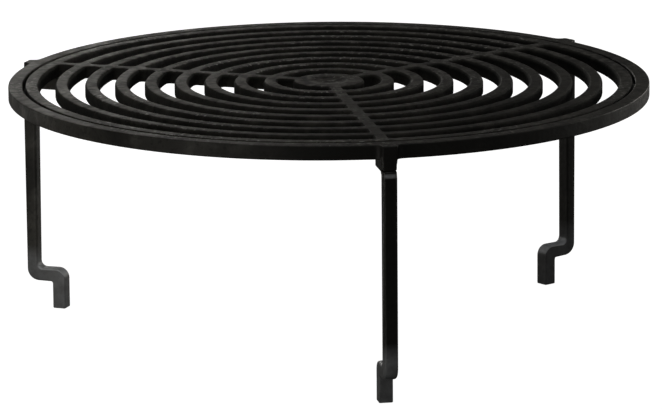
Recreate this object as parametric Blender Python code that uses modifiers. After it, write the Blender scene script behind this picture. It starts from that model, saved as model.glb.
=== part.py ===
"""Round cast-iron grill grate that drops into a ring stand with three hooked legs.

Metres, +Z up. The stand rests on the plane z = 0 with its front leg towards -Y, and the
origin is the middle of its bounding box's bottom face. Every casting hangs from the empty
"ring_axis", the vertical axis that the grate, the ring and the legs share.
"""

import math

import bmesh
import bpy

# Whole object
HEIGHT = 0.180  # from the feet's soles to the cooking surface
GAP = 0.0003  # between castings that touch
BAR_WIDTH = 0.0095  # of the grate's rings and spokes

# Support ring: a flat band with a ledge inside it that carries the grate
RIM_RADIUS = 0.225
RIM_DEPTH = 0.010
RIM_INNER_RADIUS = 0.215
LEDGE_RADIUS = 0.2066
LEDGE_DEPTH = 0.0039
RIM_CHAMFER = 0.0010
TURNED_STEPS = 96

# Lugs: three ears on the ring's outside, each with a tongue that hangs in front of its leg
LUG_RADIUS = 0.2310
LUG_WIDTH = 0.0104
LUG_FILLET = 0.0050
LUG_ROOT_RADIUS = 0.2244
LUG_ROOT_HALF_WIDTH = 0.0130
LUG_SET_BACK = 0.0004  # the ear's top lies this far under the rim's top
TONGUE_RADIUS = 0.2306
TONGUE_DROP = 0.0170  # from the cooking surface to the tongue's lower end
TONGUE_WIDTH = 0.0094

# Grate: nine rows of slots between ten rings, cut through by three spokes
SEAM = 0.0020
GRATE_DEPTH = 0.0090
RING_PITCH = 0.0209
SLOT_ROWS = 9
SLOT_FILLET = 0.0020
ARC_STEP = 0.015  # the longest straight stretch in a slot's side
FEWEST_ARC_STEPS = 7
DISH_RADIUS = 0.0140  # a shallow round dish in the middle of the top
DISH_DEPTH = 0.0010
DISH_RINGS = 4
DISH_STEPS = 32

# Legs: one bent bar each, with an arm under the ring and a hooked foot
LEG_WIDTH = 0.0098
POST_TOP_RADII = (0.2226, 0.2322)
POST_LOW_RADII = (0.2234, 0.2318)
ARM_INNER_RADIUS = 0.2045
ARM_OUTER_RADIUS = 0.2250
ARM_DEPTH = 0.0088
SHOULDER_HEIGHT = 0.1573
JOG_HEIGHTS = (0.0195, 0.0290)
FOOT_RADII = (0.2023, 0.2119)
LEG_EDGE_ROUND = 0.0012

# Screws: one M4 countersunk screw holds each leg's arm to the ring
SCREW_RADIUS = 0.2177  # from the ring's axis
SCREW_SHANK_RADIUS = 0.0020
SCREW_HEAD_RADIUS = 0.0038
SCREW_HEAD_DEPTH = 0.0020
SCREW_TOP = 0.1770
SCREW_RECESS = 0.0002
SCREW_HOLE_MOUTH = 0.0012  # how far a hole's cutter reaches below the screw head's face
SCREW_STEPS = 16

# Leg name and its direction from the ring's axis, in degrees
LEG_DIRECTIONS = {"front": -90.0, "back_right": 30.0, "back_left": 150.0}

# The front leg reaches past the ring and nothing does at the back, so the axis is off the middle.
AXIS_Y = (POST_TOP_RADII[1] - RIM_RADIUS) / 2


def clear_scene():
    for obj in list(bpy.data.objects):
        bpy.data.objects.remove(obj, do_unlink=True)


def new_collection(name):
    collection = bpy.data.collections.new(name)
    bpy.context.scene.collection.children.link(collection)
    return collection


def iron(name, colour, roughness):
    material = bpy.data.materials.new(name)
    material.use_nodes = True
    shader = material.node_tree.nodes["Principled BSDF"]
    shader.inputs["Base Color"].default_value = (*colour, 1.0)
    shader.inputs["Roughness"].default_value = roughness
    shader.inputs["Metallic"].default_value = 0.35
    return material


def place(obj, collection, axis, material=None):
    """Hang an object from the ring's axis and give it its material."""
    collection.objects.link(obj)
    obj.parent = axis
    if material:
        obj.data.materials.append(material)
    return obj


def as_cutter(obj):
    obj.hide_render = True
    obj.display_type = "WIRE"
    return obj


def shade(mesh):
    mesh.shade_smooth()
    mesh.set_sharp_from_angle(angle=math.radians(35))


def rounded(corners, steps=4):
    """The outline through (x, y, radius) corners, each one turned into an arc of that radius."""
    points = []
    for i, (x, y, radius) in enumerate(corners):
        before = corners[i - 1]
        after = corners[(i + 1) % len(corners)]
        if radius == 0:
            points.append((x, y))
            continue
        to_before = math.atan2(before[1] - y, before[0] - x)
        to_after = math.atan2(after[1] - y, after[0] - x)
        turn = (to_after - to_before + math.pi) % (2 * math.pi) - math.pi
        middle = to_before + turn / 2
        half = abs(turn) / 2
        reach = radius / math.sin(half)
        centre_x = x + reach * math.cos(middle)
        centre_y = y + reach * math.sin(middle)
        sweep = math.copysign(math.pi / 2 - half, turn)
        for k in range(steps + 1):
            angle = middle + math.pi + sweep * (1 - 2 * k / steps)
            points.append((centre_x + radius * math.cos(angle), centre_y + radius * math.sin(angle)))
    return points


def plate_mesh(name, outlines, depth):
    """A flat plate of this depth, centred on its own XY plane. Outlines inside the first are holes."""
    curve = bpy.data.curves.new(name, "CURVE")
    curve.dimensions = "2D"
    curve.fill_mode = "BOTH"
    curve.extrude = depth / 2
    for outline in outlines:
        spline = curve.splines.new("POLY")
        spline.points.add(len(outline) - 1)
        for point, (x, y) in zip(spline.points, outline):
            point.co = (x, y, 0.0, 1.0)
        spline.use_cyclic_u = True
    carrier = bpy.data.objects.new(name, curve)
    bpy.context.scene.collection.objects.link(carrier)
    graph = bpy.context.evaluated_depsgraph_get()
    mesh = bpy.data.meshes.new_from_object(carrier.evaluated_get(graph))
    bpy.data.objects.remove(carrier, do_unlink=True)
    work = bmesh.new()
    work.from_mesh(mesh)
    bmesh.ops.remove_doubles(work, verts=work.verts, dist=0.00001)
    bmesh.ops.recalc_face_normals(work, faces=work.faces)
    work.to_mesh(mesh)
    work.free()
    mesh.name = name
    return mesh


def turned(name, profile, steps, is_loop):
    """An object that a Screw modifier turns from (radius, height) points, outer side downwards."""
    mesh = bpy.data.meshes.new(name)
    edges = [(i, i + 1) for i in range(len(profile) - 1)]
    if is_loop:
        edges.append((len(profile) - 1, 0))
    mesh.from_pydata([(radius, 0.0, height) for radius, height in profile], edges, [])
    obj = bpy.data.objects.new(name, mesh)
    screw = obj.modifiers.new("Turn", "SCREW")
    screw.steps = steps
    screw.render_steps = steps
    screw.use_merge_vertices = True
    screw.merge_threshold = 0.00001
    return obj


def add_boolean(obj, other, operation):
    boolean = obj.modifiers.new(f"{operation.title()} {other.name}", "BOOLEAN")
    boolean.operation = operation
    boolean.object = other
    boolean.solver = "EXACT"


def round_edges(obj, width, segments):
    bevel = obj.modifiers.new("Round edges", "BEVEL")
    bevel.width = width
    bevel.segments = segments
    bevel.limit_method = "ANGLE"
    bevel.angle_limit = math.radians(40)


def circle(radius, steps):
    turn = 2 * math.pi / steps
    return [(radius * math.cos(turn * i), radius * math.sin(turn * i)) for i in range(steps)]


def slot_outline(inner, outer, start):
    """One slot between two spokes: two arcs, with ends that run along the spokes' sides."""
    third = 2 * math.pi / 3
    corners = []
    for radius, forwards in ((outer, True), (inner, False)):
        inset = math.asin(BAR_WIDTH / 2 / radius)
        count = max(FEWEST_ARC_STEPS, math.ceil(third * radius / ARC_STEP))
        for k in range(count + 1):
            share = k / count if forwards else 1 - k / count
            angle = start + inset + (third - 2 * inset) * share
            fillet = SLOT_FILLET if k in (0, count) else 0
            corners.append((radius * math.cos(angle), radius * math.sin(angle), fillet))
    return rounded(corners, steps=2)


def make_dish_cutter():
    """A cap cut from a large ball, whose underside is the dish in the middle of the grate."""
    ball_radius = (DISH_RADIUS**2 + DISH_DEPTH**2) / (2 * DISH_DEPTH)
    ball_height = ball_radius - DISH_DEPTH
    profile = [(0.0, DISH_DEPTH), (DISH_RADIUS, DISH_DEPTH)]
    for ring in range(DISH_RINGS + 1):
        radius = DISH_RADIUS * (1 - ring / DISH_RINGS)
        profile.append((radius, ball_height - math.sqrt(ball_radius**2 - radius**2)))
    dish = turned("dish_cutter", profile, DISH_STEPS, is_loop=False)
    dish.location.z = HEIGHT
    return dish


def make_grate(collection, cutters, axis, material):
    """The drop-in grate: one plate with slots, and a rebate under its edge that sits on the ledge."""
    radius = RIM_INNER_RADIUS - SEAM
    outlines = [circle(radius, TURNED_STEPS)]
    for row in range(SLOT_ROWS):
        slot_outer = radius - BAR_WIDTH - row * RING_PITCH
        slot_inner = radius - (row + 1) * RING_PITCH
        for direction in LEG_DIRECTIONS.values():
            outlines.append(slot_outline(slot_inner, slot_outer, math.radians(direction)))
    grate = bpy.data.objects.new("grate", plate_mesh("grate", outlines, GRATE_DEPTH))
    place(grate, collection, axis, material)
    grate.location.z = HEIGHT - GRATE_DEPTH / 2

    flange_bottom = HEIGHT - RIM_DEPTH + LEDGE_DEPTH + GAP
    rebate_radius = LEDGE_RADIUS - GAP
    cutter_bottom = HEIGHT - 2 * GRATE_DEPTH
    rebate = turned(
        "rebate_cutter",
        [
            (RIM_RADIUS, flange_bottom),
            (RIM_RADIUS, cutter_bottom),
            (rebate_radius, cutter_bottom),
            (rebate_radius, flange_bottom),
        ],
        TURNED_STEPS,
        is_loop=True,
    )
    for cutter in (rebate, make_dish_cutter()):
        place(as_cutter(cutter), cutters, axis)
        add_boolean(grate, cutter, "DIFFERENCE")
    shade(grate.data)
    return grate


def make_lug(name, direction, cutters, axis):
    """The ear and the tongue of one lug, as two solids that are joined to the ring."""
    half = LUG_WIDTH / 2
    root = LUG_ROOT_HALF_WIDTH
    inner = RIM_INNER_RADIUS + 2 * RIM_CHAMFER
    corners = [
        (inner, -root, 0),
        (LUG_ROOT_RADIUS, -root, 0),
        (LUG_ROOT_RADIUS, -half, LUG_FILLET),
        (LUG_RADIUS, -half, RIM_CHAMFER),
        (LUG_RADIUS, half, RIM_CHAMFER),
        (LUG_ROOT_RADIUS, half, LUG_FILLET),
        (LUG_ROOT_RADIUS, root, 0),
        (inner, root, 0),
    ]
    ear_depth = RIM_DEPTH - 2 * LUG_SET_BACK
    ear_mesh = plate_mesh(f"{name}_ear", [rounded(corners)], ear_depth)
    ear = bpy.data.objects.new(f"{name}_ear", ear_mesh)
    ear.location.z = HEIGHT - RIM_DEPTH / 2
    ear.rotation_euler.z = direction

    inner = RIM_RADIUS + GAP
    low = HEIGHT - TONGUE_DROP
    high = HEIGHT - RIM_DEPTH / 2
    tongue_outline = [(inner, low), (TONGUE_RADIUS, low), (TONGUE_RADIUS, high), (inner, high)]
    tongue_mesh = plate_mesh(f"{name}_tongue", [tongue_outline], TONGUE_WIDTH)
    tongue = bpy.data.objects.new(f"{name}_tongue", tongue_mesh)
    tongue.rotation_euler = (math.pi / 2, 0, direction)
    return [place(as_cutter(solid), cutters, axis) for solid in (ear, tongue)]


def make_support_ring(collection, cutters, axis, material, screw_holes):
    """The outer band with its inner ledge and its three lugs."""
    low = HEIGHT - RIM_DEPTH
    ledge_top = low + LEDGE_DEPTH
    cut = RIM_CHAMFER
    ring = turned(
        "support_ring",
        [
            (RIM_RADIUS - cut, HEIGHT),
            (RIM_RADIUS, HEIGHT - cut),
            (RIM_RADIUS, low + cut),
            (RIM_RADIUS - cut, low),
            (LEDGE_RADIUS, low),
            (LEDGE_RADIUS, ledge_top),
            (RIM_INNER_RADIUS, ledge_top),
            (RIM_INNER_RADIUS, HEIGHT - cut),
            (RIM_INNER_RADIUS + cut, HEIGHT),
        ],
        TURNED_STEPS,
        is_loop=True,
    )
    place(ring, collection, axis, material)
    for name, degrees in LEG_DIRECTIONS.items():
        for solid in make_lug(f"lug_{name}", math.radians(degrees), cutters, axis):
            add_boolean(ring, solid, "UNION")
    for hole in screw_holes.values():
        add_boolean(ring, hole, "DIFFERENCE")
    shade(ring.data)
    return ring


def leg_mesh():
    """The leg's side view: arm, shoulder, post, jog and foot in one outline, at the bar's width."""
    arm_top = HEIGHT - RIM_DEPTH - GAP
    arm_bottom = arm_top - ARM_DEPTH
    shoulder_top = HEIGHT - TONGUE_DROP - GAP
    jog_bottom, jog_top = JOG_HEIGHTS
    foot_inner, foot_outer = FOOT_RADII
    corners = [
        (ARM_INNER_RADIUS, arm_top, 0.0010),
        (ARM_INNER_RADIUS, arm_bottom, 0.0020),
        (POST_TOP_RADII[0], arm_bottom, 0.0010),
        (POST_LOW_RADII[0], jog_top, 0.0045),
        (foot_inner, jog_top, 0.0075),
        (foot_inner, 0.0, 0.0015),
        (foot_outer, 0.0, 0.0015),
        (foot_outer, jog_bottom, 0.0015),
        (POST_LOW_RADII[1], jog_bottom, 0.0085),
        (POST_TOP_RADII[1], SHOULDER_HEIGHT, 0.0030),
        (TONGUE_RADIUS + GAP, shoulder_top, 0),
        (ARM_OUTER_RADIUS, shoulder_top, 0),
        (ARM_OUTER_RADIUS, arm_top, 0),
    ]
    return plate_mesh("leg", [rounded(corners)], LEG_WIDTH)


def make_leg(name, direction, mesh, collection, axis, screw_hole):
    leg = bpy.data.objects.new(f"leg_{name}", mesh)
    place(leg, collection, axis)
    leg.rotation_euler = (math.pi / 2, 0, direction)
    round_edges(leg, LEG_EDGE_ROUND, 2)
    add_boolean(leg, screw_hole, "DIFFERENCE")
    return leg


def screw_profile(grow):
    """A countersunk screw that points up, with its head's face just inside the arm's underside."""
    face = HEIGHT - RIM_DEPTH - GAP - ARM_DEPTH + SCREW_RECESS
    shank = SCREW_SHANK_RADIUS + grow
    top = SCREW_TOP + grow
    return [
        (0.0, top),
        (shank, top),
        (shank, face + SCREW_HEAD_DEPTH),
        (SCREW_HEAD_RADIUS + grow, face),
        (0.0, face),
    ]


def on_screw_axis(obj, direction):
    obj.location.x = SCREW_RADIUS * math.cos(direction)
    obj.location.y = SCREW_RADIUS * math.sin(direction)
    return obj


def make_screw_hole(name, direction, cutters, axis):
    """A cutter that clears one screw by the gap and opens out through the arm's underside."""
    *upper, head_edge, face_centre = screw_profile(GAP)
    mouth = face_centre[1] - SCREW_HOLE_MOUTH
    profile = [*upper, head_edge, (head_edge[0], mouth), (0.0, mouth)]
    hole = turned(f"screw_hole_{name}", profile, SCREW_STEPS, is_loop=False)
    return place(as_cutter(on_screw_axis(hole, direction)), cutters, axis)


def make_screw(name, direction, collection, axis, material):
    screw = turned(f"leg_screw_{name}", screw_profile(0.0), SCREW_STEPS, is_loop=False)
    place(on_screw_axis(screw, direction), collection, axis, material)
    shade(screw.data)
    return screw


def main():
    clear_scene()
    parts = new_collection("grill_stand")
    cutters = new_collection("cutters")
    axis = bpy.data.objects.new("ring_axis", None)
    parts.objects.link(axis)
    axis.location.y = AXIS_Y

    grate_iron = iron("grate iron", (0.016, 0.016, 0.015), 0.60)
    ring_iron = iron("ring iron", (0.019, 0.019, 0.018), 0.62)
    leg_iron = iron("leg iron", (0.014, 0.014, 0.014), 0.66)
    screw_steel = iron("blackened steel", (0.030, 0.030, 0.032), 0.45)

    directions = {name: math.radians(degrees) for name, degrees in LEG_DIRECTIONS.items()}
    holes = {name: make_screw_hole(name, turn, cutters, axis) for name, turn in directions.items()}
    make_grate(parts, cutters, axis, grate_iron)
    make_support_ring(parts, cutters, axis, ring_iron, holes)
    mesh = leg_mesh()
    mesh.materials.append(leg_iron)
    shade(mesh)
    for name, turn in directions.items():
        make_leg(name, turn, mesh, parts, axis, holes[name])
        make_screw(name, turn, parts, axis, screw_steel)


main()
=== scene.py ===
"""Looks of the raised cast-iron grill stand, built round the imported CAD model.

Everything is in metres in the CAD model's own frame: +Z up, the feet on z = 0, the front leg
towards -Y. Each casting and each screw is one closed mesh that replaces its plain CAD node. The
castings have round edges and procedural materials of sand-cast, oil-blackened iron.
"""

import math

import bmesh
import bpy
from mathutils import Matrix, Vector


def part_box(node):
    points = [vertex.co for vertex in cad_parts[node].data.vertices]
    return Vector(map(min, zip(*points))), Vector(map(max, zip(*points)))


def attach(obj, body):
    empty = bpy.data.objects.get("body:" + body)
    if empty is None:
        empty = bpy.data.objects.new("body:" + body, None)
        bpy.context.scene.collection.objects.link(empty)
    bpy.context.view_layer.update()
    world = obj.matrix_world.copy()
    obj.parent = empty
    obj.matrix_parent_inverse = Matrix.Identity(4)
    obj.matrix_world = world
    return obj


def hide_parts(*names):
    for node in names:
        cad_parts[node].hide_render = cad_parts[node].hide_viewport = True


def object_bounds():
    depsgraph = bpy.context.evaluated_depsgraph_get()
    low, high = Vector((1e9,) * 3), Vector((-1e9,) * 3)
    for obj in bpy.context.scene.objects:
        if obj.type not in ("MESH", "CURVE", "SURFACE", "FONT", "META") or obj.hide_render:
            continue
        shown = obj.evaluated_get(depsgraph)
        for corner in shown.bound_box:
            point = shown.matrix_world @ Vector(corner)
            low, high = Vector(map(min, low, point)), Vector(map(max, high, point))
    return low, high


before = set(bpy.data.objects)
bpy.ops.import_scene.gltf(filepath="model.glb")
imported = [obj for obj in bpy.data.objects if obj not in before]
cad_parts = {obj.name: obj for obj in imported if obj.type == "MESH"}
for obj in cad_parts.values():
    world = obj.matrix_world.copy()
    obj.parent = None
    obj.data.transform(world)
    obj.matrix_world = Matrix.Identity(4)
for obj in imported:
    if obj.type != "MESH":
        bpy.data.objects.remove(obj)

cad_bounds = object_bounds()
grate_low, grate_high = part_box("grate")
ring_low, ring_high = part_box("support_ring")
leg_low, leg_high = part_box("leg_front")
screw_low, screw_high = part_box("leg_screw_front")

# Heights and radii that the CAD model sets
AXIS_Y = (grate_low.y + grate_high.y) / 2
TOP = grate_high.z
GRATE_BOTTOM = grate_low.z
GRATE_RADIUS = (grate_high.x - grate_low.x) / 2
RIM_RADIUS = (ring_high.x - ring_low.x) / 2
LUG_RADIUS = AXIS_Y - ring_low.y
TONGUE_BOTTOM = ring_low.z
ARM_TOP = leg_high.z
POST_OUTER_TOP = AXIS_Y - leg_low.y
ARM_INNER = AXIS_Y - leg_high.y
LEG_WIDTH = leg_high.x - leg_low.x
SCREW_AT = AXIS_Y - (screw_low.y + screw_high.y) / 2
SCREW_HEAD_RADIUS = (screw_high.x - screw_low.x) / 2
SCREW_FACE = screw_low.z
SCREW_TOP = screw_high.z

# The rest of the grate, as in the CAD model but for the dish
BAR_WIDTH = 0.0095
RING_PITCH = 0.0209
SLOT_ROWS = 9
SLOT_FILLET = 0.0020
FLANGE_BOTTOM = TOP - 0.0058
REBATE_RADIUS = 0.2063
DISH_RADIUS = 0.0140
DISH_DEPTH = 0.0016  # 0.6 mm more than in the CAD model, so that it shows as in the photo
DISH_BRIM = 0.0012  # width of the soft edge round the dish

# The rest of the ring
RIM_BOTTOM = TOP - 0.0100
RIM_INNER_RADIUS = 0.2150
LEDGE_RADIUS = 0.2066
LEDGE_TOP = RIM_BOTTOM + 0.0039
LUG_HALF_WIDTH = 0.0052
LUG_CORNER = 0.0010
LUG_FILLET = 0.0050
EAR_BOTTOM = RIM_BOTTOM + 0.0030  # where a lug's front starts to lean back to its tongue
TONGUE_TOP = RIM_BOTTOM - 0.0025  # where the tongue's front is upright again
TONGUE_BACK = 0.2253
TONGUE_FRONT = 0.2306
TONGUE_HALF_WIDTH = 0.0047

# The screws: M4 with a 2.5 mm hexagon socket
SCREW_SHANK_RADIUS = 0.0020
SCREW_HEAD_DEPTH = 0.0020
SOCKET_ACROSS_FLATS = 0.0025
SOCKET_DEPTH = 0.0015
SOCKET_CONE = 0.0004  # how much deeper the socket's floor is in its middle
THREAD_PITCH = 0.0007
THREAD_DEPTH = 0.0003
SCREW_BEVEL = 0.0001
SCREW_POINT = 0.0004  # bevel of the shank's end
SCREW_TURNS = [2 * math.pi * step / 48 for step in range(48)]
HOLE_GAP = 0.0003
HOLE_MOUTH = 0.0012  # how far a hole's cutter reaches below the screw head's face

# The rest of a leg
ARM_BOTTOM = ARM_TOP - 0.0088
ARM_STRAIGHT_END = 0.2195
POST_INNER_TOP = 0.2226
POST_INNER_LOW = 0.2234
POST_OUTER_LOW = 0.2318
SHOULDER_BACK = 0.2250
SHOULDER_TOP = TONGUE_BOTTOM - 0.0003
SHOULDER_BOTTOM = 0.1573
SHOULDER_EDGE = 0.0004
JOG_BOTTOM = 0.0195
JOG_TOP = 0.0290
BEND_RADII = (0.0045, 0.0085)  # inside and outside of the bend from the post into the step
KNEE_RADII = (0.0075, 0.0015)  # over the foot, and in the corner under the step
FOOT_INNER = 0.2023
FOOT_OUTER = 0.2119
ARM_CORNER = 0.0010  # radii of the long edges
POST_CORNER = 0.0022
FOOT_CORNER = 0.0010
SHARPEST_CORNER = 0.0002
POST_STEPS = 14
SHOULDER_STEPS = 10
BEND_STEPS = 8
# Heights over which the legs turn paler towards the feet: bare metal and painted light bounced
# from the floor
FOOT_WEAR_AND_LIGHT_TOP = 0.0460
FOOT_WEAR_AND_LIGHT_FULL = 0.0350

EDGE = 0.0009  # radius of the castings' edges
EDGE_STEPS = 4
SMALL_EDGE = EDGE / 2  # radius of the edges of the rebate, the ledge and the tongues
BAR_EDGE = 0.0020  # radius of the edges that the grate's rings and spokes turn up
BAR_EDGE_STEPS = 6
TONGUE_EDGE_STEPS = 3
RIM_EDGE_STEPS = TONGUE_EDGE_STEPS + 5  # gives the band's section as many points as a lug's
DISH_STEPS = 7
DISH_TURNS = 64
ARC_STEP = 0.0035  # length of one straight stretch along a round side
FEWEST_ARC_STEPS = 6
RIM_STEPS = 110  # stretches of the ring between two lugs
SECTOR = 2 * math.pi / 3

LEG_DIRECTIONS = {
    "front": math.radians(-90),
    "back_right": math.radians(30),
    "back_left": math.radians(150),
}


# ---------------------------------------------------------------- mesh helpers


def polar(radius, angle, height):
    """A point at that distance and direction from the ring's vertical axis."""
    return Vector((radius * math.cos(angle), AXIS_Y + radius * math.sin(angle), height))


def beside(direction, radius, across, height):
    """A point at that distance out along a leg's direction, and across to its left."""
    outward = Vector((math.cos(direction), math.sin(direction), 0.0))
    sideways = Vector((-outward.y, outward.x, 0.0))
    return Vector((0.0, AXIS_Y, height)) + outward * radius + sideways * across


def quarter(steps=EDGE_STEPS):
    """(sine, cosine) at even steps from 0 to 90 degrees."""
    for step in range(steps + 1):
        angle = math.pi / 2 * step / steps
        yield math.sin(angle), math.cos(angle)


def add_loop(work, points):
    """New vertices at those points."""
    return [work.verts.new(point) for point in points]


def bridge(work, loops, is_tube=False):
    """Quads between each loop of vertices and the next, and back to the first in a tube."""
    pairs = list(zip(loops, loops[1:]))
    if is_tube:
        pairs.append((loops[-1], loops[0]))
    for one, two in pairs:
        for i in range(len(one)):
            work.faces.new((one[i - 1], one[i], two[i], two[i - 1]))


def loop_edges(work, loops):
    """The edges along closed loops of vertices."""
    edges = []
    for loop in loops:
        for i in range(len(loop)):
            edges.append(work.edges.get((loop[i - 1], loop[i])))
    return edges


def piece_from(work, name, material):
    """Makes a smooth-shaded object from a bmesh, and frees the bmesh."""
    bmesh.ops.recalc_face_normals(work, faces=work.faces)
    mesh = bpy.data.meshes.new(name)
    work.to_mesh(mesh)
    work.free()
    mesh.shade_smooth()
    if material:
        mesh.materials.append(material)
    piece = bpy.data.objects.new(name, mesh)
    bpy.context.scene.collection.objects.link(piece)
    return piece


def keep_flats(piece):
    """Face normals weighted by area, so that a flat is not shaded round beside a small fillet."""
    weighted = piece.modifiers.new("Weighted normals", "WEIGHTED_NORMAL")
    weighted.mode = "FACE_AREA"
    weighted.keep_sharp = True


# ---------------------------------------------------------------- grate


def slot_points(row, sector_start, grow, height):
    """One slot's outline between two spokes, larger all round by grow.

    It goes along the outer arc, down the far spoke, back along the inner arc and up the near
    spoke, and starts with the round corner between the near spoke and the outer arc.
    """
    outer = GRATE_RADIUS - BAR_WIDTH - row * RING_PITCH
    inner = GRATE_RADIUS - (row + 1) * RING_PITCH
    fillet = SLOT_FILLET + grow
    from_spoke = BAR_WIDTH / 2 + SLOT_FILLET
    count = max(FEWEST_ARC_STEPS, math.ceil(SECTOR * outer / ARC_STEP))
    points = []
    corners = (
        (outer - SLOT_FILLET, 1),
        (outer - SLOT_FILLET, -1),
        (inner + SLOT_FILLET, -1),
        (inner + SLOT_FILLET, 1),
    )
    for number, (centre_radius, side) in enumerate(corners):
        is_outer = number < 2
        arc_follows = number % 2 == 0
        offset = math.asin(from_spoke / centre_radius)
        spoke = sector_start if side > 0 else sector_start + SECTOR
        direction = spoke + side * offset
        to_spoke = spoke - side * math.pi / 2
        to_arc = direction if is_outer else direction + math.pi
        first, last = (to_spoke, to_arc) if arc_follows else (to_arc, to_spoke)
        sweep = (last - first + math.pi) % (2 * math.pi) - math.pi
        centre = polar(centre_radius, direction, height)
        for step in range(EDGE_STEPS + 1):
            angle = first + sweep * step / EDGE_STEPS
            points.append(centre + fillet * Vector((math.cos(angle), math.sin(angle), 0.0)))
        if arc_follows:
            radius = outer + grow if is_outer else inner - grow
            far = sector_start + SECTOR - offset if is_outer else sector_start + offset
            for step in range(1, count):
                angle = direction + (far - direction) * step / count
                points.append(polar(radius, angle, height))
    return points


def wall_profile(bottom):
    """(inset, height) down a wall from the top face to the bottom face, with both edges round."""
    for sine, cosine in quarter(BAR_EDGE_STEPS):
        yield BAR_EDGE * (1 - sine), TOP - BAR_EDGE * (1 - cosine)
    yield 0.0, (TOP + bottom) / 2
    for sine, cosine in quarter():
        yield EDGE * (1 - cosine), bottom + EDGE * (1 - sine)


def rim_of_grate_profile():
    """(radius, height) down the grate's outer side and round the rebate under its edge."""
    for sine, cosine in quarter():
        yield GRATE_RADIUS - EDGE * (1 - sine), TOP - EDGE * (1 - cosine)
    for sine, cosine in quarter(2):
        yield GRATE_RADIUS - SMALL_EDGE * (1 - cosine), FLANGE_BOTTOM + SMALL_EDGE * (1 - sine)
    yield REBATE_RADIUS + SMALL_EDGE, FLANGE_BOTTOM
    yield REBATE_RADIUS, FLANGE_BOTTOM - SMALL_EDGE
    for sine, cosine in quarter(2):
        yield REBATE_RADIUS - SMALL_EDGE * (1 - cosine), GRATE_BOTTOM + SMALL_EDGE * (1 - sine)


def dish_profile():
    """(radius, height) from the dish's soft brim towards its middle, on a shallow ball."""
    ball = (DISH_RADIUS**2 + DISH_DEPTH**2) / (2 * DISH_DEPTH)
    yield DISH_RADIUS + DISH_BRIM, TOP
    yield DISH_RADIUS + DISH_BRIM / 2, TOP - 0.00002
    for step in range(DISH_STEPS):
        radius = (DISH_RADIUS - DISH_BRIM / 2) * (1 - step / DISH_STEPS)
        yield radius, TOP - DISH_DEPTH + ball - math.sqrt(ball**2 - radius**2)


def round_loops(work, count, profile):
    """A loop of vertices round the ring's axis for each (radius, height) of a profile."""
    turns = [2 * math.pi * step / count for step in range(count)]
    loops = []
    for radius, height in profile:
        loops.append(add_loop(work, [polar(radius, turn, height) for turn in turns]))
    return loops


def make_grate(material):
    """Walls round the outside and in every slot, a dish, and flat faces that join them."""
    work = bmesh.new()
    outside_count = math.ceil(2 * math.pi * GRATE_RADIUS / ARC_STEP)
    walls = [round_loops(work, outside_count, rim_of_grate_profile())]
    for row in range(SLOT_ROWS):
        for direction in LEG_DIRECTIONS.values():
            slot = []
            for inset, height in wall_profile(GRATE_BOTTOM):
                slot.append(add_loop(work, slot_points(row, direction, inset, height)))
            walls.append(slot)
    dish = round_loops(work, DISH_TURNS, dish_profile())
    for loops in [*walls, dish]:
        bridge(work, loops)
    middle = work.verts.new(polar(0.0, 0.0, TOP - DISH_DEPTH))
    for i in range(DISH_TURNS):
        work.faces.new((dish[-1][i - 1], dish[-1][i], middle))
    top_edges = loop_edges(work, [loops[0] for loops in walls] + [dish[0]])
    bottom_edges = loop_edges(work, [loops[-1] for loops in walls])
    for edges in (top_edges, bottom_edges):
        bmesh.ops.triangle_fill(work, use_beauty=True, edges=edges)
    piece = piece_from(work, "grill_grate", material)
    keep_flats(piece)
    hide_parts("grate")
    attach(piece, "grate")


# ---------------------------------------------------------------- support ring


def top_section(reach):
    """(radius, height) over the ring's top, round its inner edge and then its outer edge."""
    section = []
    for sine, cosine in quarter():
        section.append((RIM_INNER_RADIUS + EDGE * (1 - cosine), TOP - EDGE * (1 - sine)))
    for sine, cosine in quarter():
        section.append((reach - EDGE * (1 - sine), TOP - EDGE * (1 - cosine)))
    return section


def inner_section():
    """(radius, height) along the band's underside, up its inner side and out along the ledge."""
    bevel = SMALL_EDGE / 4
    return [
        (RIM_RADIUS - 2 * EDGE, RIM_BOTTOM),
        (LEDGE_RADIUS + SMALL_EDGE, RIM_BOTTOM),
        (LEDGE_RADIUS + bevel, RIM_BOTTOM + bevel),
        (LEDGE_RADIUS, RIM_BOTTOM + SMALL_EDGE),
        (LEDGE_RADIUS, LEDGE_TOP - SMALL_EDGE),
        (LEDGE_RADIUS + bevel, LEDGE_TOP - bevel),
        (LEDGE_RADIUS + SMALL_EDGE, LEDGE_TOP),
        (RIM_INNER_RADIUS - SMALL_EDGE, LEDGE_TOP),
        (RIM_INNER_RADIUS - bevel, LEDGE_TOP + bevel),
        (RIM_INNER_RADIUS, LEDGE_TOP + SMALL_EDGE),
    ]


def rim_section(reach):
    """(radius, height) round the plain band's section, from its top inner edge outwards."""
    section = top_section(reach)
    for sine, cosine in quarter(RIM_EDGE_STEPS):
        section.append((reach - EDGE * (1 - cosine), RIM_BOTTOM + EDGE * (1 - sine)))
    return section + inner_section()


def lug_section(reach, tongue_reach, tongue_low):
    """The same number of points as rim_section, but with the tongue hanging under the ear."""
    section = top_section(reach)
    section.append((reach, EAR_BOTTOM))
    section.append((tongue_reach, TONGUE_TOP))
    for sine, cosine in quarter(TONGUE_EDGE_STEPS):
        section.append((tongue_reach - EDGE * (1 - cosine), tongue_low + EDGE * (1 - sine)))
    section.append((TONGUE_BACK + SMALL_EDGE, tongue_low))
    section.append((TONGUE_BACK, tongue_low + SMALL_EDGE))
    section.append((TONGUE_BACK, RIM_BOTTOM))
    return section + inner_section()


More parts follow.
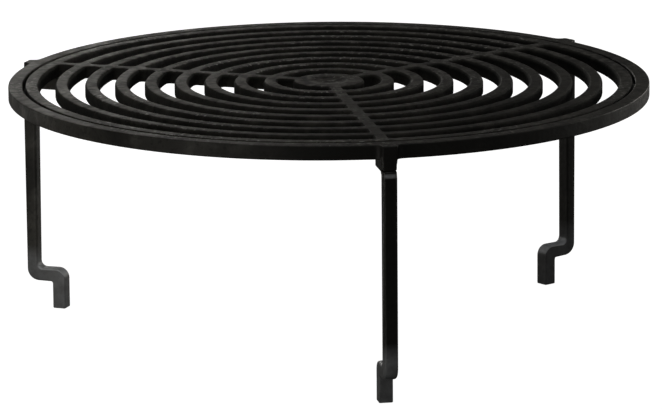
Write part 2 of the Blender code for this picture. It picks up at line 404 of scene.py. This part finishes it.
def lug_stations():
    """Half of a lug, from its middle outwards, as (across, reach, tongue) at each station.

    tongue is None where no tongue hangs, or (across, reach, low end) where one does.
    """
    low = TONGUE_BOTTOM
    half = TONGUE_HALF_WIDTH
    stations = [
        (0.0, LUG_RADIUS, (0.0, TONGUE_FRONT, low)),
        (0.0020, LUG_RADIUS, (0.0018, TONGUE_FRONT, low)),
        (LUG_HALF_WIDTH - LUG_CORNER, LUG_RADIUS, (half - LUG_CORNER, TONGUE_FRONT, low)),
    ]
    for sine, cosine in list(quarter())[1:]:
        across = LUG_HALF_WIDTH - LUG_CORNER * (1 - sine)
        inset = LUG_CORNER * (1 - cosine)
        tongue = (half - LUG_CORNER * (1 - sine), TONGUE_FRONT - inset, low + inset)
        stations.append((across, LUG_RADIUS - inset, tongue))

    # The tongue's side runs up into the band's underside
    side = LUG_RADIUS - LUG_CORNER
    upper = (half + 0.0001, side - 0.0005, RIM_BOTTOM - 0.0012)
    highest = (half + 0.0003, side - 0.0007, RIM_BOTTOM - 0.0004)
    stations.append((LUG_HALF_WIDTH, side, upper))
    stations.append((LUG_HALF_WIDTH + 0.0001, side - 0.0004, highest))
    for sine, cosine in list(quarter(6))[1:]:
        across = LUG_HALF_WIDTH + LUG_FILLET * (1 - cosine)
        reach = max(RIM_RADIUS, side - LUG_FILLET * sine)
        stations.append((across, reach, None))
    return stations


def lug_points(direction, turn, across, reach, tongue):
    """The ring's section at a lug: on the lug's station outside, and turned evenly inside."""
    section = lug_section(reach, tongue[1], tongue[2]) if tongue else rim_section(reach)
    first_outer = EDGE_STEPS + 1
    first_inner = len(section) - len(inner_section())
    points = []
    for index, (radius, height) in enumerate(section):
        if not first_outer <= index < first_inner:
            points.append(polar(radius, direction + turn, height))
            continue
        shift = across
        if tongue and height < RIM_BOTTOM:
            shift = math.copysign(tongue[0], across)
        points.append(beside(direction, radius, shift, height))
    return points


def make_support_ring(material):
    """A section swept round the axis, which grows a lug and a tongue in front of each leg."""
    work = bmesh.new()
    half = lug_stations()
    lug = [(-across, reach, tongue) for across, reach, tongue in reversed(half[1:])] + half
    lug_turn = math.asin(half[-1][0] / RIM_RADIUS)
    plain_turn = SECTOR - 2 * lug_turn
    loops = []
    for direction in LEG_DIRECTIONS.values():
        for number, (across, reach, tongue) in enumerate(lug):
            turn = lug_turn * (2 * number / (len(lug) - 1) - 1)
            loops.append(add_loop(work, lug_points(direction, turn, across, reach, tongue)))
        for step in range(1, RIM_STEPS):
            angle = direction + lug_turn + plain_turn * step / RIM_STEPS
            points = [polar(radius, angle, height) for radius, height in rim_section(RIM_RADIUS)]
            loops.append(add_loop(work, points))
    bridge(work, loops, is_tube=True)
    piece = piece_from(work, "support_ring_casting", material)
    for direction in LEG_DIRECTIONS.values():
        cut_screw_hole(piece, direction)
    keep_flats(piece)
    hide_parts("support_ring")
    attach(piece, "stand")


# ---------------------------------------------------------------- legs


def arc(centre, radius, first, last, steps):
    """(radius, height) points on an arc, with angles in degrees from outwards towards up."""
    for step in range(steps + 1):
        angle = math.radians(first + (last - first) * step / steps)
        yield centre[0] + radius * math.cos(angle), centre[1] + radius * math.sin(angle)


def between(one, two, steps):
    """Points strictly between two points, at even steps."""
    for step in range(1, steps):
        share = step / steps
        yield one[0] + (two[0] - one[0]) * share, one[1] + (two[1] - one[1]) * share


def arm_rails():
    """The arm, the round corner under it, and the notch on top that the ring's tongue fills."""
    rails = []
    for share in (0.0, 0.3, 0.6, 1.0):
        radius = ARM_INNER + (ARM_STRAIGHT_END - ARM_INNER) * share
        rails.append(((radius, ARM_BOTTOM), (radius, ARM_TOP)))
    edge = SHOULDER_EDGE
    rails += [
        ((POST_INNER_TOP - 0.0014, ARM_BOTTOM), (SHOULDER_BACK - 0.0018, ARM_TOP)),
        ((POST_INNER_TOP - 0.0008, ARM_BOTTOM - 0.0001), (SHOULDER_BACK - edge, ARM_TOP)),
        ((POST_INNER_TOP - 0.0004, ARM_BOTTOM - 0.0004), (SHOULDER_BACK, ARM_TOP - edge)),
        ((POST_INNER_TOP - 0.0002, ARM_BOTTOM - 0.0008), (SHOULDER_BACK, SHOULDER_TOP + 0.0030)),
        ((POST_INNER_TOP, ARM_BOTTOM - 0.0014), (SHOULDER_BACK + edge, SHOULDER_TOP)),
        ((POST_INNER_TOP, ARM_BOTTOM - 0.0019), (TONGUE_FRONT, SHOULDER_TOP)),
    ]
    return rails


def shoulder_rails():
    """The front's soft swelling from under the tongue out to the post's full depth."""
    start_in = ARM_BOTTOM - 0.0023
    start_out = SHOULDER_TOP - SHOULDER_EDGE
    start_reach = TONGUE_FRONT + 0.0003
    rails = []
    for step in range(SHOULDER_STEPS + 1):
        share = step / SHOULDER_STEPS
        swell = share * share * (3 - 2 * share)
        reach = start_reach + (POST_OUTER_TOP - start_reach) * swell
        height_in = start_in + (SHOULDER_BOTTOM - start_in) * share
        height_out = start_out + (SHOULDER_BOTTOM - start_out) * share
        rails.append(((POST_INNER_TOP, height_in), (reach, height_out)))
    return rails


def foot_rails():
    """The bend from the post into the step, the knee over the foot, and the foot."""
    bend_in, bend_out = BEND_RADII
    centre_in = (POST_INNER_LOW - bend_in, JOG_TOP + bend_in)
    centre_out = (POST_OUTER_LOW - bend_out, JOG_BOTTOM + bend_out)
    inner = list(arc(centre_in, bend_in, 0, -90, BEND_STEPS))
    outer = list(arc(centre_out, bend_out, 0, -90, BEND_STEPS))

    knee_in, knee_out = KNEE_RADII
    centre_in = (FOOT_INNER + knee_in, JOG_TOP - knee_in)
    centre_out = (FOOT_OUTER + knee_out, JOG_BOTTOM - knee_out)
    inner += arc(centre_in, knee_in, 90, 180, BEND_STEPS)
    outer += arc(centre_out, knee_out, 90, 180, BEND_STEPS)
    for share in (0.25, 0.5, 0.75, 1.0):
        inner.append((FOOT_INNER, centre_in[1] * (1 - share) + EDGE * share))
        outer.append((FOOT_OUTER, centre_out[1] * (1 - share) + EDGE * share))
    return list(zip(inner, outer))


def leg_rails():
    """Pairs of (radius, height) points on the leg's long sides, from the arm's end to the sole.

    The first of a pair lies on the arm's underside or the post's inner side, and the second on
    the arm's top or the post's outer side.
    """
    upper = arm_rails() + shoulder_rails()
    lower = foot_rails()
    (top_in, top_out), (low_in, low_out) = upper[-1], lower[0]
    post = zip(between(top_in, low_in, POST_STEPS), between(top_out, low_out, POST_STEPS))
    return upper + list(post) + lower


def corner_at(radius, height):
    """The radius of the leg's long edges where its inner side has that radius and height."""
    if height > SHOULDER_BOTTOM + 0.002:
        return ARM_CORNER
    if height > JOG_TOP:
        return POST_CORNER
    share = min(1.0, (POST_INNER_LOW - radius) / (POST_INNER_LOW - FOOT_INNER))
    return POST_CORNER + (FOOT_CORNER - POST_CORNER) * share


def bar_section(inner, outer, corner, inset=0.0):
    """(radius, height, across) round a bar's section between two points, with round corners."""
    depth = math.dist(inner, outer)
    along = ((outer[0] - inner[0]) / depth, (outer[1] - inner[1]) / depth)
    middle = ((inner[0] + outer[0]) / 2, (inner[1] + outer[1]) / 2)
    half_depth = depth / 2 - inset
    half_width = LEG_WIDTH / 2 - inset
    corner = max(corner - inset, SHARPEST_CORNER)
    points = []
    for quadrant, (sign_depth, sign_width) in enumerate(((1, 1), (-1, 1), (-1, -1), (1, -1))):
        for step in range(EDGE_STEPS + 1):
            angle = math.pi / 2 * (quadrant + step / EDGE_STEPS)
            deep = sign_depth * (half_depth - corner) + corner * math.cos(angle)
            wide = sign_width * (half_width - corner) + corner * math.sin(angle)
            points.append((middle[0] + along[0] * deep, middle[1] + along[1] * deep, wide))
    return points


def leg_sections():
    """Every section of the leg as (radius, height, across) points, with both ends' edges round."""
    rails = leg_rails()
    for sine, cosine in quarter(3):
        section = bar_section(*rails[0], ARM_CORNER, EDGE * (1 - sine))
        shift = EDGE * (1 - cosine)
        yield [(radius + shift, height, across) for radius, height, across in section]
    for inner, outer in rails[1:]:
        yield bar_section(inner, outer, corner_at(*inner))
    for sine, cosine in list(quarter(3))[1:]:
        section = bar_section(*rails[-1], FOOT_CORNER, EDGE * (1 - cosine))
        yield [(radius, height - EDGE * sine, across) for radius, height, across in section]


def make_leg(name, direction, material):
    """One bent bar, from its arm's inner end to its sole."""
    work = bmesh.new()
    loops = []
    for section in leg_sections():
        points = [beside(direction, radius, across, height) for radius, height, across in section]
        loops.append(add_loop(work, points))
    bridge(work, loops)
    work.faces.new(loops[0])
    work.faces.new(loops[-1])
    piece = piece_from(work, f"leg_casting_{name}", material)
    cut_screw_hole(piece, direction)
    keep_flats(piece)
    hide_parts(f"leg_{name}")
    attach(piece, "stand")


# ---------------------------------------------------------------- screws


def screw_point(direction, radius, turn, height):
    """A point round the axis of one leg's screw."""
    along = radius * math.cos(turn)
    return beside(direction, SCREW_AT + along, radius * math.sin(turn), height)


def hexagon_radius(turn):
    """The distance from the socket's axis to its wall in that direction."""
    from_flat = (turn + math.pi / 6) % (math.pi / 3) - math.pi / 6
    return SOCKET_ACROSS_FLATS / 2 / math.cos(from_flat)


def screw_loops(direction):
    """Round loops from the socket's floor, over the head, up the threaded shank to its end."""
    face = SCREW_FACE
    head = SCREW_HEAD_RADIUS
    shank = SCREW_SHANK_RADIUS
    bevel = SCREW_BEVEL
    loops = []

    def add(height, radius_of):
        """One more loop at that height, with a radius for each direction."""
        points = [screw_point(direction, radius_of(turn), turn, height) for turn in SCREW_TURNS]
        loops.append(points)

    add(face + SOCKET_DEPTH + SOCKET_CONE, lambda turn: 2 * bevel)
    add(face + SOCKET_DEPTH, hexagon_radius)
    add(face + bevel, hexagon_radius)
    add(face, lambda turn: hexagon_radius(turn) + bevel)
    add(face, lambda turn: head - 2 * bevel)
    add(face + bevel, lambda turn: head)
    add(face + 3 * bevel, lambda turn: head - bevel)
    add(face + SCREW_HEAD_DEPTH, lambda turn: shank)
    height = face + SCREW_HEAD_DEPTH + THREAD_PITCH
    while height < SCREW_TOP - THREAD_PITCH:
        add(height - THREAD_PITCH * 0.45, lambda turn: shank)
        add(height, lambda turn: shank - THREAD_DEPTH)
        height += THREAD_PITCH
    add(SCREW_TOP - SCREW_POINT, lambda turn: shank)
    add(SCREW_TOP, lambda turn: shank - SCREW_POINT)
    return loops


def capped_tube(name, loops, material=None):
    """An object whose loops of points are joined in turn and closed at both ends."""
    work = bmesh.new()
    loops = [add_loop(work, points) for points in loops]
    bridge(work, loops)
    work.faces.new(loops[0])
    work.faces.new(loops[-1])
    return piece_from(work, name, material)


def make_screw(name, direction, material):
    """A countersunk socket screw that points up through the arm into the ring."""
    piece = capped_tube(f"socket_screw_{name}", screw_loops(direction), material)
    piece.data.set_sharp_from_angle(angle=math.radians(35))
    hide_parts(f"leg_screw_{name}")
    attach(piece, "stand")


def cut_screw_hole(piece, direction):
    """Takes one screw's hole, larger than the screw by the gap, out of a leg or the ring."""
    wide = SCREW_HEAD_RADIUS + HOLE_GAP
    narrow = SCREW_SHANK_RADIUS + HOLE_GAP
    profile = (
        (wide, SCREW_FACE - HOLE_MOUTH),
        (wide, SCREW_FACE),
        (narrow, SCREW_FACE + SCREW_HEAD_DEPTH),
        (narrow, SCREW_TOP + HOLE_GAP),
    )
    loops = []
    for radius, height in profile:
        loops.append([screw_point(direction, radius, turn, height) for turn in SCREW_TURNS])
    cutter = capped_tube("hole_cutter", loops)
    cut = piece.modifiers.new("Screw hole", "BOOLEAN")
    cut.operation = "DIFFERENCE"
    cut.solver = "EXACT"
    cut.object = cutter
    whole = piece.data
    evaluated = piece.evaluated_get(bpy.context.evaluated_depsgraph_get())
    piece.data = bpy.data.meshes.new_from_object(evaluated)
    piece.data.name = whole.name
    piece.modifiers.remove(cut)
    for used in (cutter.data, whole):
        bpy.data.meshes.remove(used)


# ---------------------------------------------------------------- materials


class Look:
    """A procedural material and short ways to add nodes to it."""

    def __init__(self, name):
        self.material = bpy.data.materials.new(name)
        self.material.use_nodes = True
        self.nodes = self.material.node_tree.nodes
        self.links = self.material.node_tree.links
        self.shader = self.nodes["Principled BSDF"]
        self.place = self.nodes.new("ShaderNodeTexCoord").outputs["Object"]
        self.surface = self.nodes.new("ShaderNodeNewGeometry")

    def noise(self, scale, detail, offset=0.0):
        """Noise with that many grains a metre; offset makes it differ from other noise."""
        node = self.nodes.new("ShaderNodeTexNoise")
        node.noise_dimensions = "4D"
        node.inputs["W"].default_value = offset
        node.inputs["Scale"].default_value = scale
        node.inputs["Detail"].default_value = detail
        self.links.new(self.place, node.inputs["Vector"])
        return node.outputs["Fac"]

    def along(self, direction):
        """How far out a point lies in that direction, in metres."""
        node = self.nodes.new("ShaderNodeVectorMath")
        node.operation = "DOT_PRODUCT"
        node.inputs[1].default_value = direction
        self.links.new(self.place, node.inputs[0])
        return node.outputs["Value"]

    def from_middle(self):
        """How far a point of the cooking surface lies from the ring's axis, in metres."""
        node = self.nodes.new("ShaderNodeVectorMath")
        node.operation = "DISTANCE"
        node.inputs[1].default_value = (0.0, AXIS_Y, TOP)
        self.links.new(self.place, node.inputs[0])
        return node.outputs["Value"]

    def ranged(self, value, low, high, to_low=0.0, to_high=1.0):
        """to_low where the value is low or less, to_high where it is high or more."""
        node = self.nodes.new("ShaderNodeMapRange")
        for socket, number in zip(node.inputs[1:5], (low, high, to_low, to_high)):
            socket.default_value = number
        self.links.new(value, node.inputs[0])
        return node.outputs[0]

    def part(self, vector, axis):
        """One of a vector's three numbers, X, Y or Z."""
        node = self.nodes.new("ShaderNodeSeparateXYZ")
        self.links.new(vector, node.inputs[0])
        return node.outputs[axis]

    def math(self, operation, one, two):
        """One operation on two masks or numbers, with the result kept between 0 and 1."""
        node = self.nodes.new("ShaderNodeMath")
        node.operation = operation
        node.use_clamp = True
        for socket, value in zip(node.inputs, (one, two)):
            if isinstance(value, float):
                socket.default_value = value
            else:
                self.links.new(value, socket)
        return node.outputs[0]

    def both(self, one, two):
        """How far both of two masks hold."""
        return self.math("MULTIPLY", one, two)

    def mixed(self, factor, one, two):
        """One colour where the factor is 0, the other where it is 1."""
        node = self.nodes.new("ShaderNodeMix")
        node.data_type = "RGBA"
        self.links.new(factor, node.inputs[0])
        for socket, value in zip((node.inputs[6], node.inputs[7]), (one, two)):
            if isinstance(value, tuple):
                socket.default_value = (*value, 1.0)
            else:
                self.links.new(value, socket)
        return node.outputs[2]

    def bumped(self, height, strength, distance, under=None):
        """A normal for those heights, on top of the normal under it."""
        node = self.nodes.new("ShaderNodeBump")
        node.inputs["Strength"].default_value = strength
        node.inputs["Distance"].default_value = distance
        self.links.new(height, node.inputs["Height"])
        if under:
            self.links.new(under, node.inputs["Normal"])
        return node.outputs["Normal"]

    def finish(self, colour, roughness, normal, specular):
        """Joins the results to the shader, and gives the material back."""
        self.links.new(colour, self.shader.inputs["Base Color"])
        self.links.new(roughness, self.shader.inputs["Roughness"])
        self.links.new(normal, self.shader.inputs["Normal"])
        self.shader.inputs["Specular IOR Level"].default_value = specular
        return self.material


# Bare metal; it also serves for painted edge highlights, painted light low on the legs and, made
# paler, painted highlights
BARE_IRON_AND_HIGHLIGHT = (0.170, 0.176, 0.184)
ASH_FILM = (0.105, 0.099, 0.087)
ASH_SPECKS = (0.34, 0.33, 0.31)
SHADED_SIDE = (0.55, -0.835, 0.0)  # the front right, where shade is painted: less ash and darker sides and legs, which are also glossier there
FRONT_RIGHT_SHADE = 0.25  # what is left of the iron's colour where shade is painted at the front right
# What is left of the grate's colour on its walls and underside, where shade is painted
PAINTED_WALL_SHADE = 0.22


def shade_of(colour, factor):
    """The same colour, darker or lighter by that factor."""
    return tuple(channel * factor for channel in colour)


def mottled(look, colour, blotches, skin, shaded_glossy_half):
    """The colour of cast skin: oily patches, pale blotches, dark pits and pale edges.

    The pale edges are bare metal from rubbing and painted edge highlights, fewer where shade is
    painted at the front right.
    """
    patches = look.ranged(look.noise(16.0, 2.0, 3.0), 0.38, 0.60)
    oiled = look.mixed(patches, shade_of(colour, 0.50), shade_of(colour, 1.30))
    pale = look.ranged(blotches, 0.50, 0.72, 0.0, 0.80)
    blotched = look.mixed(pale, oiled, shade_of(colour, 2.4))
    pits = look.ranged(skin, 0.30, 0.46, 0.7, 0.0)
    pitted = look.mixed(pits, blotched, shade_of(colour, 0.30))
    # Pale edges: bare metal from rubbing and painted edge highlights, fewer on the front right as
    # painted shade
    edges = look.ranged(look.surface.outputs["Pointiness"], 0.52, 0.56)
    pale_edges = look.both(edges, look.ranged(blotches, 0.42, 0.62, 0.0, 0.3))
    pale_edges = look.both(pale_edges, look.ranged(shaded_glossy_half, 0.0, 1.0, 1.0, 0.4))
    return look.mixed(pale_edges, pitted, BARE_IRON_AND_HIGHLIGHT)


def ashy(look, under, facing_up, ash):
    """Adds a pale film and specks to the faces that look up.

    Leaving the ash out at the front right, except close to the middle and near the rim, paints
    shade there.
    """
    upward = look.ranged(facing_up, 0.70, 0.97)
    # Painted shade: hardly any ash at the front right
    unshaded_side = look.ranged(look.along(SHADED_SIDE), 0.00, 0.15, 1.0, 0.05)
    ash_near_middle = look.ranged(look.from_middle(), 0.040, 0.085, 1.0, 0.0)
    ash_near_rim = look.ranged(look.from_middle(), 0.180, 0.205, 0.0, 0.8)
    ash_allowed = look.math("MAXIMUM", look.math("MAXIMUM", unshaded_side, ash_near_middle), ash_near_rim)
    where = look.both(look.ranged(look.noise(11.0, 2.0, 7.0), 0.34, 0.56, 0.30, 1.0), ash_allowed)
    film = look.both(look.ranged(look.noise(150.0, 5.0, 6.0), 0.44, 0.58, 0.0, ash), where)
    filmed = look.mixed(look.both(upward, film), under, ASH_FILM)
    clusters = look.both(look.ranged(look.noise(18.0, 1.0, 9.0), 0.44, 0.60), ash_allowed)
    specks = look.both(look.ranged(look.noise(300.0, 3.0, 5.0), 0.56, 0.64), clusters)
    return look.mixed(look.both(upward, look.both(specks, ash)), filmed, ASH_SPECKS)


def bare_and_lit_legs(look, under, facing_up):
    """Paints the legs paler low down, as bare metal and as light bounced from the floor, and
    paints highlights wherever a leg below the ring's seam looks up.

    The right leg is less pale low down than the other two.
    """
    uneven = look.ranged(look.noise(160.0, 3.0, 4.0), 0.35, 0.60, 0.65, 1.0)
    height = look.part(look.place, "Z")
    # Paler low on the legs: bare metal and painted light bounced from the floor, less on the right
    # leg
    low = look.ranged(height, FOOT_WEAR_AND_LIGHT_TOP, FOOT_WEAR_AND_LIGHT_FULL, 0.0, 0.9)
    low = look.both(low, look.ranged(look.part(look.place, "X"), 0.05, 0.16, 1.0, 0.5))
    bare_and_bounce_lit = look.mixed(look.both(low, uneven), under, BARE_IRON_AND_HIGHLIGHT)
    # Painted highlights where a leg's faces look up below the ring's seam, such as the shoulder
    # and the step
    below_seam = look.ranged(height, SHOULDER_TOP - 0.0014, SHOULDER_TOP - 0.0006, 1.0, 0.0)
    painted_highlight = look.both(look.ranged(facing_up, 0.20, 0.50, 0.0, 0.90), below_seam)
    return look.mixed(look.both(painted_highlight, uneven), bare_and_bounce_lit, shade_of(BARE_IRON_AND_HIGHLIGHT, 2.8))


def cast_iron(name, colour, ash=0.0, wall_shade=0.0, side_shade=0.0, legs_lit_and_worn=False):
    """Sand-cast iron under a burnt-on oily film: uneven skin, grain, patches and pale edges, with
    painted shade and painted highlights.

    ash is how much pale film and how many specks lie on the faces that look up. The next argument
    is how much darker the walls are, as painted shade, and the one after it how much darker the
    sides are at the front right, as painted shade. The last is for the legs: they are painted
    darker as shade and are glossier towards the front right, paler low down as bare metal where
    the feet hook over a rim and as painted light bounced from the floor, and have painted
    highlights where their skin turns up.
    """
    look = Look(name)
    blotches = look.noise(70.0, 4.0, 1.0)
    skin = look.noise(330.0, 3.0)
    grain = look.noise(1300.0, 2.0, 2.0)
    facing_up = look.part(look.surface.outputs["Normal"], "Z")
    shaded_glossy_half = look.ranged(look.along(SHADED_SIDE), -0.10, 0.06)

    result = mottled(look, colour, blotches, skin, shaded_glossy_half)
    # Painted shade: the legs are darker towards the front right
    if legs_lit_and_worn:
        result = look.mixed(look.both(shaded_glossy_half, 0.85), result, shade_of(colour, FRONT_RIGHT_SHADE))
    # Painted shade: the ring's sides are darker at the front right
    if side_shade:
        shaded_sides = look.ranged(look.along(SHADED_SIDE), 0.075, 0.145, 0.0, side_shade)
        shaded_sides = look.both(shaded_sides, look.ranged(facing_up, 0.20, 0.70, 1.0, 0.0))
        result = look.mixed(shaded_sides, result, shade_of(colour, FRONT_RIGHT_SHADE))
    # Painted shade: the grate's walls and underside are darker than its faces that look up
    if wall_shade:
        walls = look.ranged(facing_up, 0.35, 0.90, wall_shade, 0.0)
        result = look.mixed(walls, result, shade_of(colour, PAINTED_WALL_SHADE))
    if ash:
        result = ashy(look, result, facing_up, ash)
    # The legs: paler low down, as bare metal and painted floor light, and painted highlights where
    # they look up
    if legs_lit_and_worn:
        result = bare_and_lit_legs(look, result, facing_up)

    roughness = look.ranged(blotches, 0.30, 0.70, 0.66, 0.48)
    if legs_lit_and_worn:
        roughness = look.both(roughness, look.ranged(shaded_glossy_half, 0.0, 1.0, 1.0, 0.68))
    if wall_shade:
        rough_walls = look.ranged(facing_up, 0.86, 0.985, 0.90, 0.0)
        roughness = look.math("MAXIMUM", roughness, rough_walls)
    skin_normal = look.bumped(skin, 0.60, 0.00050)
    normal = look.bumped(grain, 0.50, 0.00014, skin_normal)
    return look.finish(result, roughness, normal, 0.30)


def blackened_steel():
    """A machined screw's oxide film, worn through to grey steel on its edges."""
    look = Look("blackened steel")
    film = look.noise(900.0, 3.0)
    thin = look.ranged(film, 0.35, 0.70)
    colour = look.mixed(thin, (0.020, 0.020, 0.022), (0.050, 0.050, 0.052))
    edges = look.ranged(look.surface.outputs["Pointiness"], 0.52, 0.60, 0.0, 0.6)
    pale_edges = look.mixed(edges, colour, (0.22, 0.21, 0.20))
    roughness = look.ranged(film, 0.30, 0.70, 0.34, 0.52)
    normal = look.bumped(look.noise(2600.0, 2.0), 0.25, 0.00005)
    look.shader.inputs["Metallic"].default_value = 0.8
    return look.finish(pale_edges, roughness, normal, 0.5)


# ---------------------------------------------------------------- stage, light and camera

FLOOR_REACH = 60.0  # half its width, so that its edges are out of sight
FLOOR_GLOW = 0.96  # enough for plain white wherever the camera sees it
SKY_LIGHT = 0.02
LIT_HEIGHT = 0.12  # what the lights aim at, on the ring's axis
SKY_LIGHT_DISTANCE = 3.0

# Azimuth, elevation and width in degrees, and strength
SKY_LIGHTS = (
    ("overhead", 0, 90, 40, 0.38),
    ("front_high", -85, 43, 24, 0.18),
)

# Azimuth and elevation in degrees, distance and size in metres, and power in watts
SOFTBOXES = (
    ("back_left_low", 145, 7, 0.75, 0.3, 0.43),
    ("front_left_low", 220, 4, 0.75, 0.3, 0.60),
    ("right_low", 18, 6, 2.5, 0.5, 9.0),
    ("back_right_low", 45, 5, 2.5, 0.5, 7.0),
    ("back_low", 90, 5, 2.5, 0.5, 5.5),
    ("left_foot", 180, -20, 0.255, 0.06, 0.060),
    ("front_foot", -100, -20, 0.32, 0.04, 0.007),
    ("front_right_low", -40, 5, 2.5, 0.5, 2.0),
)
SOFTBOX_COLOUR = (1.0, 0.97, 0.91)

CAMERA_LENS = 278.66  # mm
CAMERA_DISTANCE = 16.01 * RIM_RADIUS
CAMERA_AZIMUTH = -100.0
CAMERA_ELEVATION = 11.174

# Degrees and axis of each turn after it aims at the middle of the cooking surface
CAMERA_TURNS = ((-0.0134, "Y"), (-1.3929, "X"), (-0.435, "Z"))


def grey(level):
    """An opaque grey for a colour socket."""
    return level, level, level, 1.0


def show_to_camera(tree, seen, plain, output):
    """Lets the camera see one shader and everything else meet the plain one."""
    nodes, links = tree.nodes, tree.links
    path = nodes.new("ShaderNodeLightPath")
    choose = nodes.new("ShaderNodeMixShader")
    links.new(path.outputs["Is Camera Ray"], choose.inputs[0])
    links.new(plain.outputs[0], choose.inputs[1])
    links.new(seen.outputs[0], choose.inputs[2])
    links.new(choose.outputs[0], nodes[output].inputs["Surface"])


def make_floor():
    """A floor that is white to the camera, and throws little light back at the castings."""
    mesh = bpy.data.meshes.new("floor")
    work = bmesh.new()
    bmesh.ops.create_grid(work, x_segments=1, y_segments=1, size=FLOOR_REACH)
    work.to_mesh(mesh)
    work.free()
    floor = bpy.data.objects.new("floor", mesh)
    bpy.context.scene.collection.objects.link(floor)
    floor.location.z = cad_bounds[0].z
    material = bpy.data.materials.new("white floor")
    material.use_nodes = True
    nodes = material.node_tree.nodes
    white = nodes["Principled BSDF"]
    white.inputs["Base Color"].default_value = grey(0.50)
    white.inputs["Roughness"].default_value = 1.0
    white.inputs["Specular IOR Level"].default_value = 0.0
    white.inputs["Emission Color"].default_value = grey(1.0)
    white.inputs["Emission Strength"].default_value = FLOOR_GLOW
    dim = nodes.new("ShaderNodeBsdfDiffuse")
    dim.inputs["Color"].default_value = grey(0.10)
    show_to_camera(material.node_tree, white, dim, "Material Output")
    mesh.materials.append(material)


def make_world():
    """A sky that is white to the camera, and nearly dark to the castings."""
    world = bpy.data.worlds.new("studio")
    bpy.context.scene.world = world
    world.use_nodes = True
    nodes = world.node_tree.nodes
    white = nodes["Background"]
    white.inputs["Color"].default_value = grey(1.0)
    white.inputs["Strength"].default_value = 1.0
    dim = nodes.new("ShaderNodeBackground")
    dim.inputs["Color"].default_value = grey(1.0)
    dim.inputs["Strength"].default_value = SKY_LIGHT
    show_to_camera(world.node_tree, white, dim, "World Output")


def towards(azimuth, elevation):
    """The unit vector in that direction, from angles in degrees."""
    turn = math.radians(azimuth)
    rise = math.radians(elevation)
    level = math.cos(rise)
    return Vector((level * math.cos(turn), level * math.sin(turn), math.sin(rise)))


def add_light(name, kind, azimuth, elevation, distance, strength):
    """A light that shines on the stand from that direction, unseen by the camera."""
    light = bpy.data.lights.new(name, kind)
    light.energy = strength
    lamp = bpy.data.objects.new(name, light)
    bpy.context.scene.collection.objects.link(lamp)
    outward = towards(azimuth, elevation)
    lamp.location = Vector((0.0, AXIS_Y, LIT_HEIGHT)) + outward * distance
    lamp.rotation_euler = outward.to_track_quat("Z", "Y").to_euler()
    lamp.visible_camera = False
    return light


def light_studio():
    """Two soft lights from above, and low softboxes all round that pick out the sides."""
    for name, azimuth, elevation, width, strength in SKY_LIGHTS:
        light = add_light(name, "SUN", azimuth, elevation, SKY_LIGHT_DISTANCE, strength)
        light.angle = math.radians(width)
    for name, azimuth, elevation, distance, size, power in SOFTBOXES:
        light = add_light(name, "AREA", azimuth, elevation, distance, power)
        light.shape = "SQUARE"
        light.size = size
        light.color = SOFTBOX_COLOUR


def add_camera():
    """The camera far off with a long lens, slightly above the stand and left of its front leg."""
    data = bpy.data.cameras.new("camera")
    camera = bpy.data.objects.new("camera", data)
    bpy.context.scene.collection.objects.link(camera)
    bpy.context.scene.camera = camera
    data.sensor_width = 36.0
    data.lens = CAMERA_LENS
    data.clip_end = 200.0
    middle = Vector((0.0, AXIS_Y, TOP))
    away = towards(CAMERA_AZIMUTH, CAMERA_ELEVATION) * CAMERA_DISTANCE
    aim = (-away).to_track_quat("-Z", "Y").to_matrix().to_4x4()
    place = Matrix.Translation(middle + away) @ aim
    for angle, axis in CAMERA_TURNS:
        place = place @ Matrix.Rotation(math.radians(angle), 4, axis)
    camera.matrix_world = place


bpy.context.scene.view_settings.view_transform = "Standard"
add_camera()
make_world()
light_studio()
make_floor()

grate_iron = cast_iron("grate iron", (0.0235, 0.0224, 0.0187), ash=0.90, wall_shade=0.35)
ring_iron = cast_iron("ring iron", (0.0290, 0.0277, 0.0237), ash=0.52, side_shade=0.90)
leg_iron = cast_iron("leg iron", (0.0310, 0.0302, 0.0262), legs_lit_and_worn=True)
screw_steel = blackened_steel()

make_grate(grate_iron)
make_support_ring(ring_iron)
for leg_name, leg_direction in LEG_DIRECTIONS.items():
    make_leg(leg_name, leg_direction, leg_iron)
    make_screw(leg_name, leg_direction, screw_steel)
